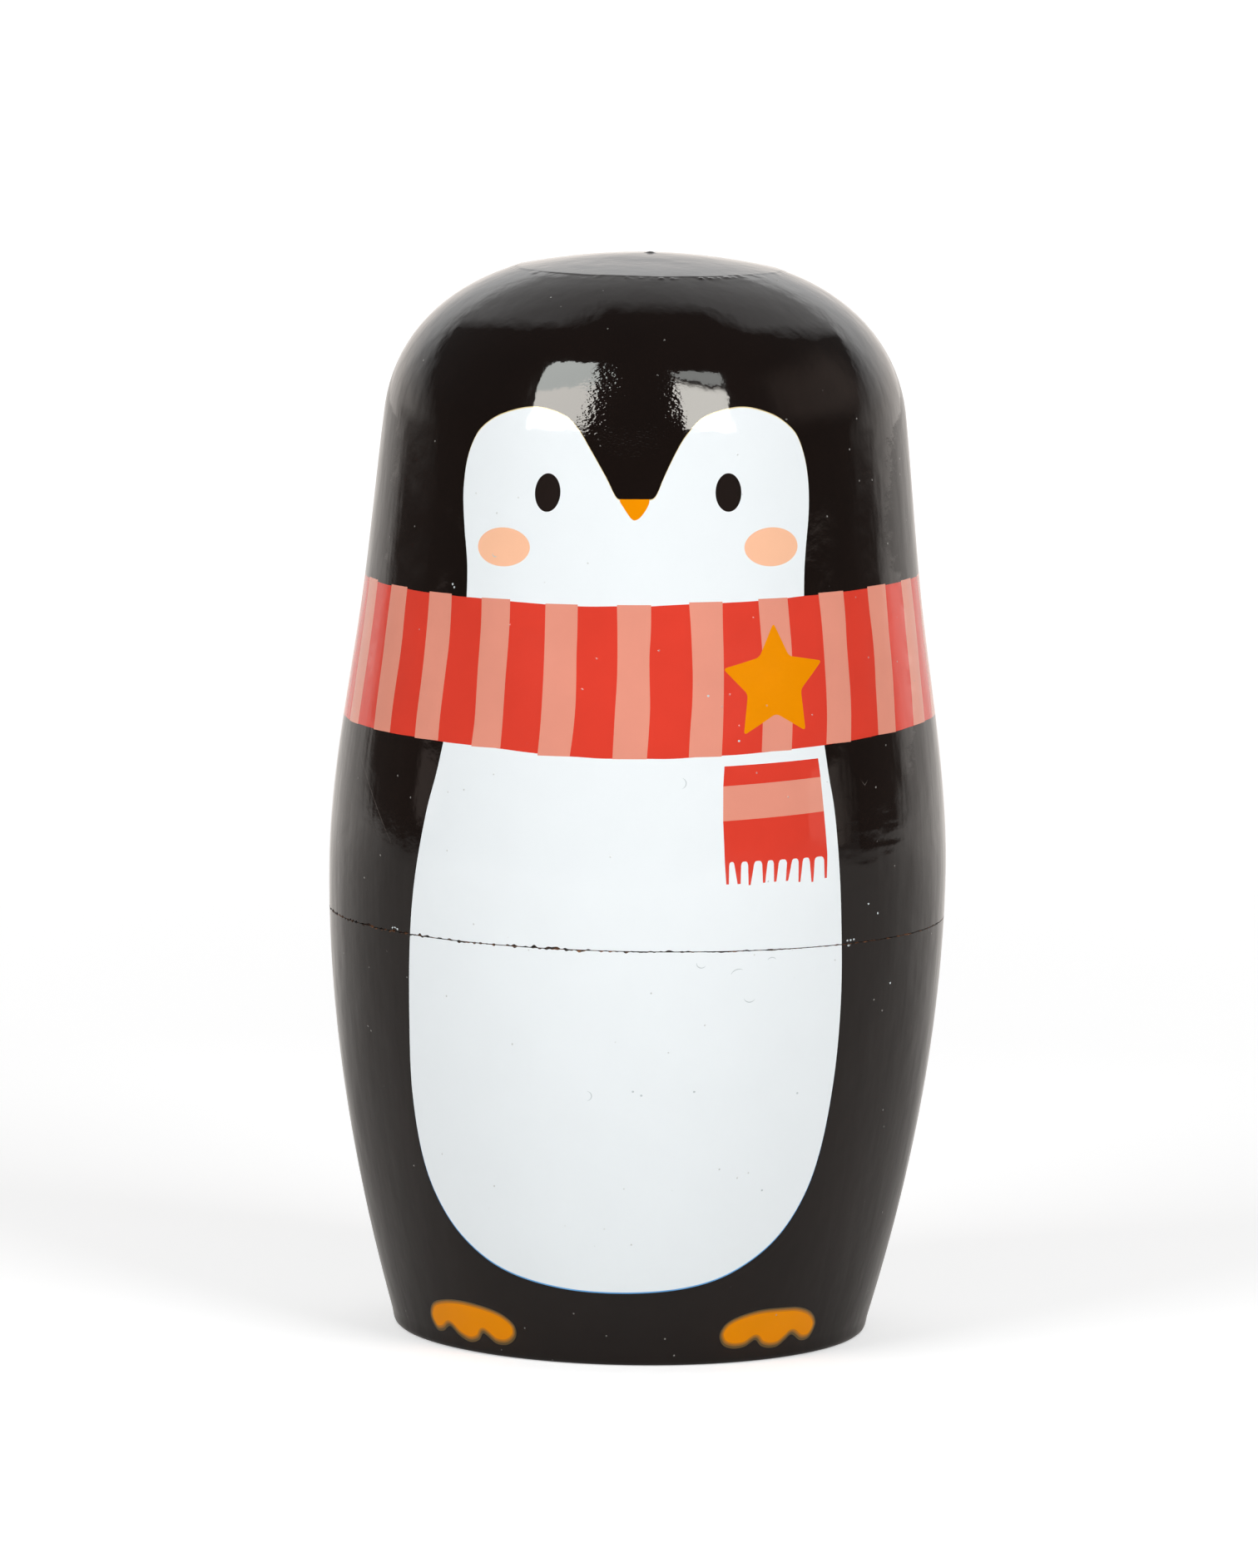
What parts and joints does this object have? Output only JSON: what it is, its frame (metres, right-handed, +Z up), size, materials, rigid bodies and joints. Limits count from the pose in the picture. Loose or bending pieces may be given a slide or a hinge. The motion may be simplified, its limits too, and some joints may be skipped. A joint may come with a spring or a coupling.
{
  "type": "nesting doll set",
  "caption": "Turned wooden nesting dolls, one inside the other, painted as penguins in striped scarves; each hollow doll opens at a collar round its belly.",
  "frame": {"origin": "middle of the flat base, on the surface that the doll stands on", "axes": "+Z up along the turning axis, the painted front faces -Y"},
  "size_m": [0.063, 0.063, 0.11],
  "materials": {
    "lacquered_wood": "gloss black lacquer with a printed and varnished figure, bare turned limewood inside"
  },
  "bodies": {
    "large_doll_base": {"large_doll_base": "lacquered_wood"},
    "second_doll_base": {"second_doll_base": "lacquered_wood"},
    "third_doll_base": {"third_doll_base": "lacquered_wood"},
    "fourth_doll_base": {"fourth_doll_base": "lacquered_wood"},
    "smallest_doll": {"smallest_doll": "lacquered_wood"},
    "fourth_doll_top": {"fourth_doll_top": "lacquered_wood"},
    "third_doll_top": {"third_doll_top": "lacquered_wood"},
    "second_doll_top": {"second_doll_top": "lacquered_wood"},
    "large_doll_top": {"large_doll_top": "lacquered_wood"}
  },
  "joints": [
    {"name": "second_doll_out", "type": "slide", "parent": "large_doll_base", "child": "second_doll_base", "axis": [0, 0, 1], "range_m": [0, 0.048]},
    {"name": "third_doll_out", "type": "slide", "parent": "second_doll_base", "child": "third_doll_base", "axis": [0, 0, 1], "range_m": [0, 0.04]},
    {"name": "fourth_doll_out", "type": "slide", "parent": "third_doll_base", "child": "fourth_doll_base", "axis": [0, 0, 1], "range_m": [0, 0.03]},
    {"name": "smallest_doll_out", "type": "slide", "parent": "fourth_doll_base", "child": "smallest_doll", "axis": [0, 0, 1], "range_m": [0, 0.022]},
    {"name": "fourth_top_off", "type": "slide", "parent": "smallest_doll", "child": "fourth_doll_top", "axis": [0, 0, 1], "range_m": [0, 0.024]},
    {"name": "third_top_off", "type": "slide", "parent": "fourth_doll_top", "child": "third_doll_top", "axis": [0, 0, 1], "range_m": [0, 0.036]},
    {"name": "second_top_off", "type": "slide", "parent": "third_doll_top", "child": "second_doll_top", "axis": [0, 0, 1], "range_m": [0, 0.048]},
    {"name": "large_top_off", "type": "slide", "parent": "second_doll_top", "child": "large_doll_top", "axis": [0, 0, 1], "range_m": [0, 0.06]}
  ]
}
